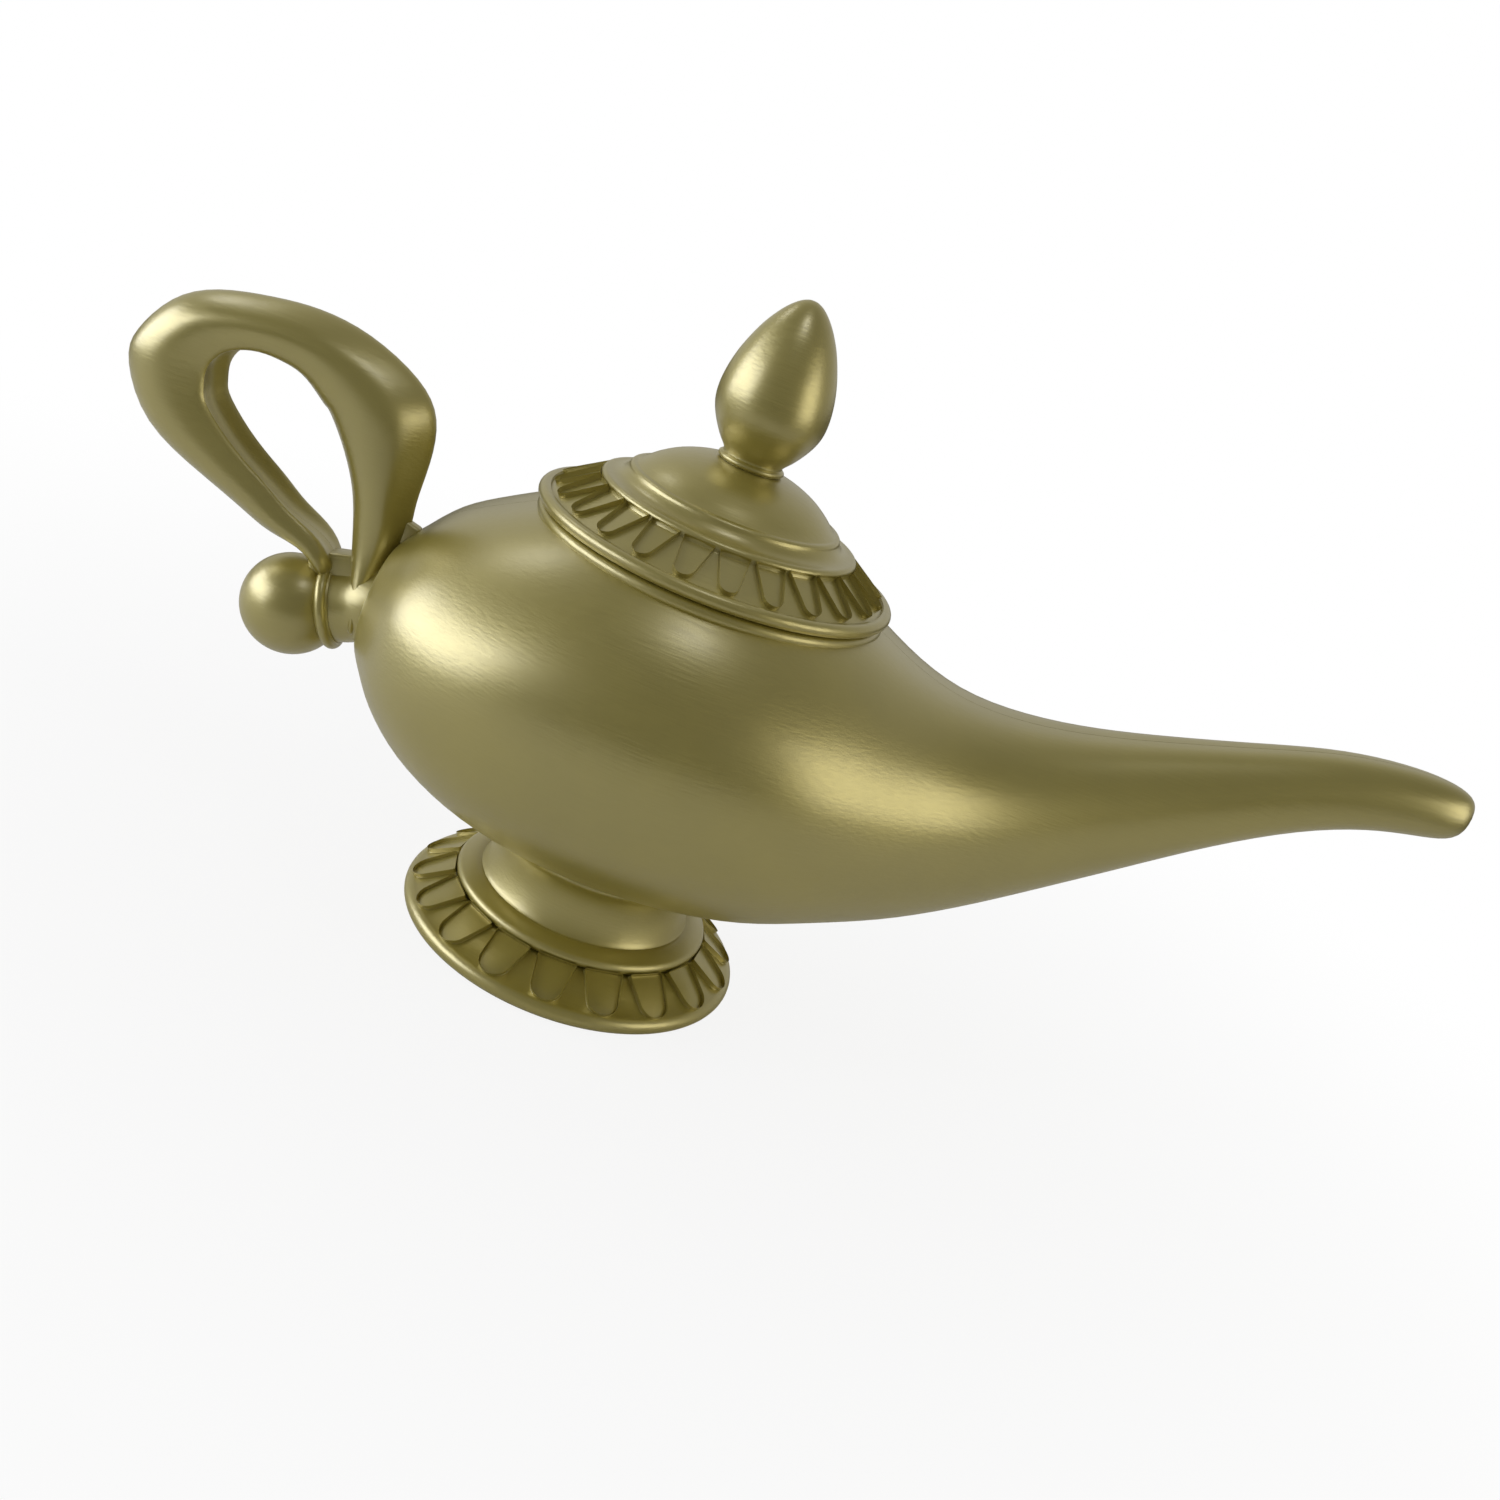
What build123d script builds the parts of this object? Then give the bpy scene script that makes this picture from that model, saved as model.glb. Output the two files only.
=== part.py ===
"""Genie oil lamp: a footed bowl with a long closed spout, a lift-off lid and a loop handle.

All lengths are millimetres. The origin is the centre of the foot's underside, on the axis that
the foot, the lid and the finial share. +Z is up and +X runs along the spout, so the shells part
on the XZ plane and the left half is on the +Y side.
"""
import os
from math import copysign, cos, hypot, radians, sin

from build123d import *

os.makedirs("parts", exist_ok=True)

# Bowl and spout
spout_reach = 168.0         # lamp axis to the spout's tip
rear_reach = 62.5           # lamp axis to the flat that the handle sits on
bowl_half_width = 52.0
bowl_floor = 21.5           # lowest line of the full bowl form, cut flat at the foot
bowl_rise = 78.5            # from that line to the crown that the mouth cuts away
wall = 2.2                  # moulded wall of the shells

# Each row is one cross-section: distance along, top line, floor line, half width, the height
# of the widest point as shares, and the squareness of the shoulder
rear_shares = [
    (1.00, 0.565, 0.370, 0.155, 0.50, 2.0),
    (0.98, 0.628, 0.334, 0.305, 0.48, 2.1),
    (0.93, 0.695, 0.282, 0.465, 0.46, 2.3),
    (0.85, 0.767, 0.218, 0.620, 0.45, 2.4),
    (0.71, 0.832, 0.135, 0.765, 0.44, 2.5),
    (0.51, 0.912, 0.060, 0.890, 0.44, 2.6),
    (0.26, 0.980, 0.012, 0.970, 0.43, 2.7),
    (0.00, 1.000, 0.000, 1.000, 0.43, 2.7),
]
front_shares = [
    (0.095, 0.981, 0.009, 0.965, 0.43, 2.7),
    (0.190, 0.922, 0.037, 0.868, 0.44, 2.6),
    (0.274, 0.855, 0.094, 0.712, 0.46, 2.5),
    (0.357, 0.809, 0.150, 0.540, 0.50, 2.5),
    (0.446, 0.813, 0.259, 0.396, 0.50, 2.7),
    (0.536, 0.855, 0.397, 0.300, 0.50, 2.9),
    (0.625, 0.914, 0.548, 0.233, 0.50, 3.0),
    (0.714, 0.981, 0.689, 0.190, 0.50, 3.0),
    (0.804, 1.048, 0.815, 0.163, 0.50, 2.8),
    (0.881, 1.084, 0.887, 0.144, 0.50, 2.6),
    (0.941, 1.095, 0.924, 0.121, 0.50, 2.4),
    (0.979, 1.087, 0.946, 0.088, 0.50, 2.2),
    (1.000, 1.051, 0.985, 0.034, 0.50, 2.0),
]
cavity_end_share = 0.90     # the spout is solid beyond this share of its reach

# Mouth of the bowl and its seat ring
mouth_radius = 35.5
seat_height = 91.2          # flat that the ring rests on
ring_bead_radius = 37.6
ring_thickness = 3.0
ring_skirt_depth = 6.0
ring_skirt_wall = 2.0
fit_gap = 0.1               # clearance of glued and screwed pieces

# Lid
lid_gap = 0.25              # the lid's clearance on its seat
lid_skirt_gap = 0.35        # and inside the ring
lid_radius = 38.3
lid_lip_height = 2.9        # underside to the top of the lip
lid_lip_width = 2.3
lid_wall = 2.2
lid_skirt_depth = 5.5
band_inner_radius = 27.6    # the ornamented band, from the lip up to the first step
band_rise = 7.6             # underside of the lid to the band's upper edge
step_radius = 26.4
step_rise = 9.6
dome_radius = 22.2
dome_base_rise = 12.0
dome_rise = 19.6            # underside of the lid to the finial's seat
lid_tongues = 24
lid_tongue_width = 6.0
lid_tongue_tip_radius = 1.3
lid_tongue_line = 1.0
lid_tongue_reach = 35.0
lid_relief = 0.6
slab_share = 0.15           # how much longer the ornament's slab is than its band
tongue_root = 1.0           # how far a tongue starts inside the step that it springs from

# Finial
finial_seat_radius = 6.9
finial_radius = 11.6
finial_height = 34.2
finial_bead_height = 1.4
finial_waist_radius = 6.3
finial_shares = [           # radius and height of the drop above its waist
    (0.71, 0.13),
    (0.87, 0.21),
    (0.97, 0.29),
    (1.00, 0.38),
    (0.95, 0.51),
    (0.82, 0.66),
    (0.62, 0.80),
    (0.35, 0.93),
]

# Foot
foot_height = 24.0
foot_radius = 38.4
foot_rest_radius = 36.4
foot_rest_width = 3.0
foot_rim_height = 4.0       # top of the rounded rim
foot_rim_radius = 36.6
flange_inner_radius = 29.4
flange_height = 8.4
foot_bead_radius = 28.9
foot_bead_height = 10.0
foot_bead_half = 1.3
foot_undercut = 1.4
neck_radius = 22.6
neck_waist_height = 18.5
neck_top_radius = 24.4
neck_lip = 3.0              # how far the neck rises past the foot's flat, round the bowl
neck_lip_width = 2.6
foot_wall = 2.4
foot_plate = 2.6
foot_tongues = 18
foot_tongue_width = 7.4
foot_tongue_tip_radius = 2.2
foot_tongue_reach = 36.6
foot_relief = 0.8

# Handle: centre of each section, the direction of its outer side in degrees from +X, its half
# width in the loop's plane and its half depth across it
handle_reach = 114.2        # lamp axis to the middle of the loop's rear end
handle_crown = 104.4        # height of the loop's middle at the top
loop_half_width = 11.0
loop_half_depth = 8.2
handle_wall = 2.0
loop_shares = [
    (0.581, 0.575, 0, 0.24, 0.43),
    (0.578, 0.642, 0, 0.40, 0.56),
    (0.583, 0.714, 0, 0.55, 0.68),
    (0.595, 0.778, 0, 0.64, 0.77),
    (0.613, 0.852, 6, 0.85, 0.85),
    (0.637, 0.918, 16, 1.00, 0.91),
    (0.668, 0.951, 35, 0.93, 0.91),
    (0.736, 0.989, 54, 0.74, 0.93),
    (0.800, 1.000, 78, 0.60, 0.95),
    (0.863, 0.996, 100, 0.53, 0.98),
    (0.926, 0.977, 132, 0.61, 0.99),
    (0.973, 0.943, 155, 0.74, 1.00),
    (1.000, 0.892, 175, 0.86, 1.00),
    (0.998, 0.843, 185, 0.89, 1.00),
    (0.962, 0.783, 214, 0.76, 0.99),
    (0.878, 0.723, 230, 0.58, 0.93),
    (0.805, 0.683, 239, 0.48, 0.87),
    (0.748, 0.650, 241, 0.40, 0.83),
    (0.684, 0.625, 240, 0.30, 0.79),
    (0.643, 0.570, 222, 0.29, 0.79),
]
web_shares = [              # fills the fork above the stub, across the loop's plane
    (0.683, 0.553),
    (0.687, 0.608),
    (0.658, 0.634),
    (0.617, 0.640),
    (0.564, 0.642),
    (0.564, 0.553),
]
nub_shares = [              # small web between the front limb and the bowl
    (0.545, 0.694),
    (0.545, 0.757),
    (0.517, 0.755),
    (0.495, 0.739),
    (0.495, 0.694),
]
nub_half_depth = 2.0
web_half_depth = 3.2

# Ball, collar and stub behind the bowl, on one axis that drops to the rear
ball_radius = 10.8
ball_distance = 79.6        # lamp axis to the ball's centre
ball_height = 50.4
stub_droop = 20.5           # degrees
stub_radius = 8.0
collar_radius = 9.2
collar_thickness = 3.0
collar_offset = 7.4         # ball's centre to the collar's rear face
spigot_radius = 3.2
spigot_length = 4.0

# Fasteners: self-tapping screws with pan heads
screw_radius = 1.5
screw_head_radius = 2.8
screw_head_height = 1.8
boss_radius = 4.2
foot_screw_spacing = 24.0
foot_screw_length = 11.0
finial_screw_length = 10.0
handle_screw_radius = 1.1
handle_screw_head_radius = 2.1
handle_screw_spacing = 6.6
handle_screw_length = 7.0

# Register pegs that line up the two shells
peg_radius = 1.4
peg_length = 3.0
peg_boss_radius = 2.8
peg_boss_length = 5.0
peg_sink = 0.8              # how far the boss runs into the wall
peg_shares = [-0.71, 0.357, 0.625]

overrun = 5.0               # how far a cutting shape passes the face that it cuts

LEFT = 1
RIGHT = -1


def bowl_stations(skin):
    """Cross-sections of the bowl and spout, drawn in by a skin thickness."""
    rows = [(-rear_reach * share + skin * share, *row) for share, *row in rear_shares]
    for share, *row in front_shares:
        if skin == 0 or share < cavity_end_share:
            rows.append((spout_reach * share, *row))
    stations = []
    for along, top, floor, width, middle, shoulder in rows:
        top_z = bowl_floor + bowl_rise * top - skin
        floor_z = bowl_floor + bowl_rise * floor + skin
        stations.append((along, top_z, floor_z, bowl_half_width * width - skin, middle, shoulder))
    return stations


def section_points(top_z, floor_z, half_width, middle, shoulder, side):
    """Half of one cross-section, from its top line round to its floor line."""
    middle_z = floor_z + (top_z - floor_z) * middle
    points = []
    for angle in (90, 68, 45, 22, 0, -22, -45, -68, -90):
        over, up = cos(radians(angle)), sin(radians(angle))
        power = 2 / shoulder if up > 0 else 1
        height = (top_z - middle_z) if up > 0 else (middle_z - floor_z)
        y = side * half_width * abs(over) ** power
        points.append((y, middle_z + copysign(height * abs(up) ** power, up)))
    points[0] = (0, top_z)
    points[-1] = (0, floor_z)
    return points


def half_form(side, skin):
    """One half of the bowl's outer form, or of its cavity when the skin is a wall."""
    with BuildPart() as form:
        for along, top_z, floor_z, half_width, middle, shoulder in bowl_stations(skin):
            points = section_points(top_z, floor_z, half_width, middle, shoulder, side)
            with BuildSketch(Plane.YZ.offset(along)):
                with BuildLine():
                    Spline(points, tangents=((side, 0), (-side, 0)))
                    Line(points[-1], points[0])
                make_face()
        loft()
    return form.part


def floor_line(share):
    """Distance along and inner floor height at a station of the table."""
    along = spout_reach * share if share > 0 else rear_reach * share
    table = front_shares if share > 0 else rear_shares
    row = min(table, key=lambda entry: abs(entry[0] - abs(share)))
    return along, bowl_floor + bowl_rise * row[2] + wall


# Outer form and cavity of each half, and the whole outer form
left_outside = half_form(LEFT, 0)
left_cavity = half_form(LEFT, wall)
right_outside = mirror(left_outside, about=Plane.XZ)
right_cavity = mirror(left_cavity, about=Plane.XZ)
bowl_form = left_outside + right_outside


def stub_height(distance):
    """Height of the stub's axis at a distance behind the lamp's axis."""
    rise = (ball_distance - distance) * sin(radians(stub_droop)) / cos(radians(stub_droop))
    return ball_height + rise


def stub_plane(offset):
    """Plane square to the stub's axis, at a distance from the ball's centre."""
    droop = radians(stub_droop)
    axis = Vector(cos(droop), 0, sin(droop))
    centre = Vector(-ball_distance, 0, ball_height) + axis * offset
    return Plane(origin=centre, x_dir=(0, 1, 0), z_dir=axis)


def register_pegs(radius, length):
    """Pegs on the right side of the seam, or the sockets that take them."""
    with BuildPart() as pegs:
        for share in peg_shares:
            along, floor_z = floor_line(share)
            seam = Plane(origin=(along, 0, floor_z + peg_boss_radius - peg_sink), z_dir=(0, RIGHT, 0))
            with BuildSketch(seam):
                Circle(radius)
            extrude(amount=length)
    return pegs.part


def shell(side, outside, cavity):
    """One moulded half of the bowl and spout."""
    boss_y = side * foot_screw_spacing / 2
    # floor pad above the foot with this half's screw boss, and the bosses of the pegs
    with BuildPart() as bosses:
        with BuildSketch(Plane.XY.offset(foot_height)):
            Circle(neck_top_radius)
            with Locations((0, -side * foot_radius)):
                Rectangle(2 * foot_radius, 2 * foot_radius, mode=Mode.SUBTRACT)
        extrude(amount=wall)
        with BuildSketch(Plane.XY.offset(foot_height)):
            with Locations((0, boss_y)):
                Circle(boss_radius)
        extrude(amount=foot_screw_length)
        for share in peg_shares:
            along, floor_z = floor_line(share)
            seam = Plane(origin=(along, 0, floor_z + peg_boss_radius - peg_sink), z_dir=(0, side, 0))
            with BuildSketch(seam):
                Circle(peg_boss_radius)
            extrude(amount=peg_boss_length)
        add(outside, mode=Mode.INTERSECT)
    with BuildPart() as half:
        add(outside)
        add(cavity, mode=Mode.SUBTRACT)
        add(bosses.part)
        # flat under the bowl, mouth and the seat round it
        with BuildSketch(Plane.XY.offset(foot_height)):
            Rectangle(2 * spout_reach, 2 * spout_reach)
        extrude(amount=-foot_height, mode=Mode.SUBTRACT)
        with BuildSketch(Plane.XY.offset(seat_height - ring_skirt_depth - overrun)):
            Circle(mouth_radius)
        extrude(amount=bowl_rise, mode=Mode.SUBTRACT)
        with BuildSketch(Plane.XY.offset(seat_height)):
            Circle(ring_bead_radius + fit_gap)
        extrude(amount=bowl_rise, mode=Mode.SUBTRACT)
        # screw hole up into the boss
        with BuildSketch(Plane.XY.offset(foot_height)):
            with Locations((0, boss_y)):
                Circle(screw_radius + fit_gap)
        extrude(amount=foot_screw_length - wall / 2, mode=Mode.SUBTRACT)
        # hole of the handle's screw through the rear wall
        with BuildSketch(Plane.YZ.offset(-rear_reach - overrun)):
            with Locations((side * handle_screw_spacing / 2, stub_height(rear_reach))):
                Circle(handle_screw_radius + fit_gap)
        extrude(amount=2 * overrun, mode=Mode.SUBTRACT)
        # spot face that its head bears on
        with BuildSketch(Plane.YZ.offset(-rear_reach + wall)):
            with Locations((side * handle_screw_spacing / 2, stub_height(rear_reach))):
                Circle(handle_screw_head_radius + fit_gap)
        extrude(amount=overrun, mode=Mode.SUBTRACT)
    return half


# Shells
left_half = shell(LEFT, left_outside, left_cavity)
left_pegs = register_pegs(peg_radius, peg_length)
with BuildPart() as body_left_shell:
    add(left_half.part)
    add(left_pegs)
body_left_shell.part.label = "body_left_shell"
export_step(body_left_shell.part, "parts/body_left_shell.step")

right_half = shell(RIGHT, right_outside, right_cavity)
right_sockets = register_pegs(peg_radius + fit_gap, peg_length + fit_gap)
with BuildPart() as body_right_shell:
    add(right_half.part)
    add(right_sockets, mode=Mode.SUBTRACT)
body_right_shell.part.label = "body_right_shell"
export_step(body_right_shell.part, "parts/body_right_shell.step")

# Seat ring in the mouth
ring_top = seat_height + ring_thickness
ring_skirt_radius = mouth_radius - fit_gap
ring_bore_radius = ring_skirt_radius - ring_skirt_wall
with BuildPart() as mouth_ring:
    with BuildSketch(Plane.XZ):
        with BuildLine():
            bead_start = ring_bead_radius - ring_thickness / 2
            Line((ring_bore_radius, seat_height - ring_skirt_depth), (ring_bore_radius, ring_top))
            Line((ring_bore_radius, ring_top), (bead_start, ring_top))
            ThreePointArc(
                (bead_start, ring_top),
                (ring_bead_radius, seat_height + ring_thickness / 2),
                (bead_start, seat_height),
            )
            Line((bead_start, seat_height), (ring_skirt_radius, seat_height))
            Line((ring_skirt_radius, seat_height), (ring_skirt_radius, seat_height - ring_skirt_depth))
            Line(
                (ring_skirt_radius, seat_height - ring_skirt_depth),
                (ring_bore_radius, seat_height - ring_skirt_depth),
            )
        make_face()
    revolve(axis=Axis.Z)
mouth_ring.part.label = "mouth_ring"
export_step(mouth_ring.part, "parts/mouth_ring.step")

# Foot
with BuildPart() as foot_form:
    with BuildSketch(Plane.XZ):
        with BuildLine():
            rest_inner = foot_rest_radius - foot_rest_width
            plate_z = foot_height - foot_plate
            bead_low = (foot_bead_radius - foot_undercut, foot_bead_height - foot_bead_half)
            bead_high = (foot_bead_radius - foot_bead_half, foot_bead_height + foot_bead_half)
            Line((rest_inner, 0), (foot_rest_radius, 0))
            ThreePointArc(
                (foot_rest_radius, 0),
                (foot_radius, foot_rim_height / 2),
                (foot_rim_radius, foot_rim_height),
            )
            Line((foot_rim_radius, foot_rim_height), (flange_inner_radius, flange_height))
            Line((flange_inner_radius, flange_height), bead_low)
            ThreePointArc(bead_low, (foot_bead_radius, foot_bead_height), bead_high)
            ThreePointArc(
                bead_high,
                (neck_radius, neck_waist_height),
                (neck_top_radius, foot_height),
            )
            Line((neck_top_radius, foot_height), (0, foot_height))
            Line((0, foot_height), (0, plate_z))
            Line((0, plate_z), (neck_radius - foot_wall, plate_z))
            Line((neck_radius - foot_wall, plate_z), (neck_radius - foot_wall, foot_bead_height))
            Line(
                (neck_radius - foot_wall, foot_bead_height),
                (flange_inner_radius - foot_wall, flange_height - foot_wall),
            )
            Line((flange_inner_radius - foot_wall, flange_height - foot_wall), (rest_inner, 0))
        make_face()
    revolve(axis=Axis.Z)


def tongue_ring(count, inner, reach, width, tip_radius, height, line):
    """Tongues in plan, as a standing solid: full, or only their outline when line is given."""
    with BuildPart() as tongues:
        with BuildSketch() as plan:
            with PolarLocations(0, count):
                tongue_outline(inner, reach, width, tip_radius, Mode.ADD)
            if line > 0:
                with PolarLocations(0, count):
                    tongue_outline(inner - line, reach - line, width - 2 * line, tip_radius - line, Mode.SUBTRACT)
        extrude(amount=height)
    return tongues.part


def tongue_outline(inner, reach, width, tip_radius, mode):
    """One tongue that starts wide at the ring and ends in a round tip."""
    tip = reach - tip_radius
    Polygon(
        (inner, -width / 2),
        (tip, -tip_radius),
        (tip, tip_radius),
        (inner, width / 2),
        align=None,
        mode=mode,
    )
    with Locations((tip, 0)):
        Circle(tip_radius, mode=mode)


def band_slab(low, high, relief):
    """Ring as thick as the relief on each side of a sloping band, and a little longer."""
    run, rise = high[0] - low[0], high[1] - low[1]
    slope = hypot(run, rise)
    out, up = relief * rise / slope, -relief * run / slope
    low = (low[0] - run * slab_share, low[1] - rise * slab_share)
    high = (high[0] + run * slab_share, high[1] + rise * slab_share)
    with BuildPart() as slab:
        with BuildSketch(Plane.XZ):
            Polygon(
                (low[0] - out, low[1] - up),
                (high[0] - out, high[1] - up),
                (high[0] + out, high[1] + up),
                (low[0] + out, low[1] + up),
                align=None,
            )
        revolve(axis=Axis.Z)
    return slab.part


foot_tongue_plan = tongue_ring(
    foot_tongues, flange_inner_radius - foot_undercut / 2, foot_tongue_reach,
    foot_tongue_width, foot_tongue_tip_radius, foot_height, 0,
)
foot_band = band_slab((foot_rim_radius, foot_rim_height), (flange_inner_radius, flange_height), foot_relief)
with BuildPart() as foot_ornament:
    add(foot_tongue_plan)
    add(foot_band, mode=Mode.INTERSECT)
with BuildPart() as seated_bowl:
    add(bowl_form)
    with BuildSketch(Plane.XY.offset(foot_height)):
        Circle(bowl_half_width)
    extrude(amount=-foot_height, mode=Mode.SUBTRACT)
with BuildPart() as neck_collar:
    with BuildSketch(Plane.XY.offset(foot_height)):
        Circle(neck_top_radius)
        Circle(neck_top_radius - neck_lip_width, mode=Mode.SUBTRACT)
    extrude(amount=neck_lip)
    add(seated_bowl.part, mode=Mode.SUBTRACT)
with BuildPart() as foot:
    add(foot_form.part)
    add(neck_collar.part)
    add(foot_ornament.part)
    with BuildSketch(Plane.XY.offset(foot_height - foot_plate)):
        with GridLocations(0, foot_screw_spacing, 1, 2):
            Circle(screw_radius + fit_gap)
    extrude(amount=foot_plate, mode=Mode.SUBTRACT)
foot.part.label = "foot"
export_step(foot.part, "parts/foot.step")

# Lid: lip, ornamented band, two steps and a dome
lid_base = ring_top + lid_gap
lid_skirt_radius = ring_bore_radius - lid_skirt_gap
lip_inner = lid_radius - lid_lip_width
band_low = (lip_inner, lid_base + lid_lip_height - lid_lip_width / 4)
band_high = (band_inner_radius, lid_base + band_rise)
step_low = (step_radius, lid_base + step_rise - lid_lip_width / 4)
step_high = (dome_radius + lid_lip_width / 4, lid_base + dome_base_rise - lid_lip_width / 2)
dome_low = (dome_radius - lid_lip_width / 4, lid_base + dome_base_rise)
dome_top = (finial_seat_radius, lid_base + dome_rise)
dome_middle_share = 0.56
dome_bulge_share = 0.66
dome_middle = (
    dome_top[0] + (dome_low[0] - dome_top[0]) * dome_middle_share,
    dome_low[1] + (dome_top[1] - dome_low[1]) * dome_bulge_share,
)
with BuildPart() as lid_form:
    with BuildSketch(Plane.XZ):
        with BuildLine():
            lip_start = (lip_inner, lid_base)
            Line((lid_skirt_radius, lid_base), lip_start)
            ThreePointArc(
                lip_start,
                (lid_radius, lid_base + lid_lip_height / 2),
                (lip_inner + lid_lip_width / 4, lid_base + lid_lip_height),
            )
            Line((lip_inner + lid_lip_width / 4, lid_base + lid_lip_height), band_low)
            Line(band_low, band_high)
            ThreePointArc(
                band_high,
                (step_radius + lid_lip_width / 4, (band_high[1] + step_low[1]) / 2),
                step_low,
            )
            Line(step_low, step_high)
            ThreePointArc(
                step_high,
                (dome_radius + lid_lip_width / 4, (step_high[1] + dome_low[1]) / 2),
                dome_low,
            )
            ThreePointArc(dome_low, dome_middle, dome_top)
            Line(dome_top, (0, dome_top[1]))
            Line((0, dome_top[1]), (0, dome_top[1] - lid_wall))
            Line((0, dome_top[1] - lid_wall), (dome_top[0], dome_top[1] - lid_wall))
            Line((dome_top[0], dome_top[1] - lid_wall), (dome_low[0] - lid_wall, dome_low[1] - lid_wall))
            Line(
                (dome_low[0] - lid_wall, dome_low[1] - lid_wall),
                (lid_skirt_radius - lid_wall, band_low[1]),
            )
            Line(
                (lid_skirt_radius - lid_wall, band_low[1]),
                (lid_skirt_radius - lid_wall, lid_base - lid_skirt_depth),
            )
            Line(
                (lid_skirt_radius - lid_wall, lid_base - lid_skirt_depth),
                (lid_skirt_radius, lid_base - lid_skirt_depth),
            )
            Line((lid_skirt_radius, lid_base - lid_skirt_depth), (lid_skirt_radius, lid_base))
        make_face()
    revolve(axis=Axis.Z)
lid_tongue_plan = tongue_ring(
    lid_tongues, band_inner_radius - tongue_root, lid_tongue_reach,
    lid_tongue_width, lid_tongue_tip_radius, 2 * lid_base, lid_tongue_line,
)
lid_band = band_slab(band_low, band_high, lid_relief)
with BuildPart() as lid_ornament:
    add(lid_tongue_plan)
    add(lid_band, mode=Mode.INTERSECT)
with BuildPart() as lid:
    add(lid_form.part)
    add(lid_ornament.part)
    with BuildSketch(Plane.XY.offset(dome_top[1] - lid_wall)):
        Circle(screw_radius + fit_gap)
    extrude(amount=lid_wall, mode=Mode.SUBTRACT)
lid.part.label = "lid"
export_step(lid.part, "parts/lid.step")

# Finial: a drop on a narrow waist, with a bead at its seat
finial_base = dome_top[1]
with BuildPart() as finial:
    with BuildSketch(Plane.XZ):
        with BuildLine():
            waist_z = finial_base + finial_bead_height
            drop = [(finial_waist_radius, waist_z)]
            drop += [(finial_radius * r, finial_base + finial_height * h) for r, h in finial_shares]
            tip = (0, finial_base + finial_height)
            Line((0, finial_base), (finial_seat_radius, finial_base))
            ThreePointArc(
                (finial_seat_radius, finial_base),
                (finial_seat_radius + finial_bead_height / 4, finial_base + finial_bead_height / 2),
                drop[0],
            )
            Spline(drop + [tip], tangents=((0, 1), (-1, 0)))
            Line(tip, (0, finial_base))
        make_face()
    revolve(axis=Axis.Z)
    with BuildSketch(Plane.XY.offset(finial_base)):
        Circle(screw_radius + fit_gap)
    extrude(amount=finial_screw_length, mode=Mode.SUBTRACT)
finial.part.label = "finial"
export_step(finial.part, "parts/finial.step")


def pan_screw(base, radius, head_radius, length):
    """Screw whose head sits under the plane's origin and whose shank runs along its normal."""
    with BuildPart() as screw:
        with BuildSketch(base):
            Circle(radius)
        extrude(amount=length)
        with BuildSketch(base):
            Circle(head_radius)
        extrude(amount=-screw_head_height)
        rim = screw.faces().sort_by(Axis(base.origin, base.z_dir))[0].edges()
        fillet(rim, screw_head_height / 3)
        slot = Plane(origin=base.origin - base.z_dir * screw_head_height, x_dir=base.x_dir, z_dir=base.z_dir)
        with BuildSketch(slot):
            Rectangle(head_radius, screw_head_height / 3)
            Rectangle(screw_head_height / 3, head_radius)
        extrude(amount=screw_head_height / 2, mode=Mode.SUBTRACT)
    return screw.part


foot_screw_pair = [
    pan_screw(
        Plane(origin=(0, side * foot_screw_spacing / 2, foot_height - foot_plate)),
        screw_radius, screw_head_radius, foot_screw_length,
    )
    for side in (LEFT, RIGHT)
]
with BuildPart() as foot_screws:
    add(foot_screw_pair)
foot_screws.part.label = "foot_screws"
export_step(foot_screws.part, "parts/foot_screws.step")

lid_screw = pan_screw(
    Plane(origin=(0, 0, finial_base - lid_wall)),
    screw_radius, screw_head_radius, finial_screw_length,
)
with BuildPart() as finial_screw:
    add(lid_screw)
finial_screw.part.label = "finial_screw"
export_step(finial_screw.part, "parts/finial_screw.step")

handle_screw_pair = [
    pan_screw(
        Plane(
            origin=(-rear_reach + wall, side * handle_screw_spacing / 2, stub_height(rear_reach)),
            x_dir=(0, 1, 0),
            z_dir=(-1, 0, 0),
        ),
        handle_screw_radius, handle_screw_head_radius, handle_screw_length,
    )
    for side in (LEFT, RIGHT)
]
with BuildPart() as handle_screws:
    add(handle_screw_pair)
handle_screws.part.label = "handle_screws"
export_step(handle_screws.part, "parts/handle_screws.step")


def loop_half(side, skin):
    """One half of the loop, or of its core when the skin is a wall."""
    last = len(loop_shares) - 1
    with BuildPart() as loop:
        for number, (along, height, facing, width, depth) in enumerate(loop_shares):
            if skin > 0 and number in (0, 1, last - 1, last):
                continue
            facing = radians(facing)
            across, run = Vector(cos(facing), 0, sin(facing)), Vector(-sin(facing), 0, cos(facing))
            half_width = loop_half_width * width - skin
            half_depth = loop_half_depth * depth - skin
            origin = (-handle_reach * along, 0, handle_crown * height)
            square = Plane(origin=origin, x_dir=across, z_dir=run)
            toward = side if square.y_dir.Y > 0 else -side
            with BuildSketch(square):
                with BuildLine():
                    Spline(
                        [
                            (half_width * cos(radians(angle)), toward * half_depth * sin(radians(angle)))
                            for angle in (0, 30, 60, 90, 120, 150, 180)
                        ],
                        tangents=((0, toward), (0, -toward)),
                    )
                    Line((-half_width, 0), (half_width, 0))
                make_face()
        loft()
    return loop.part


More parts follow.
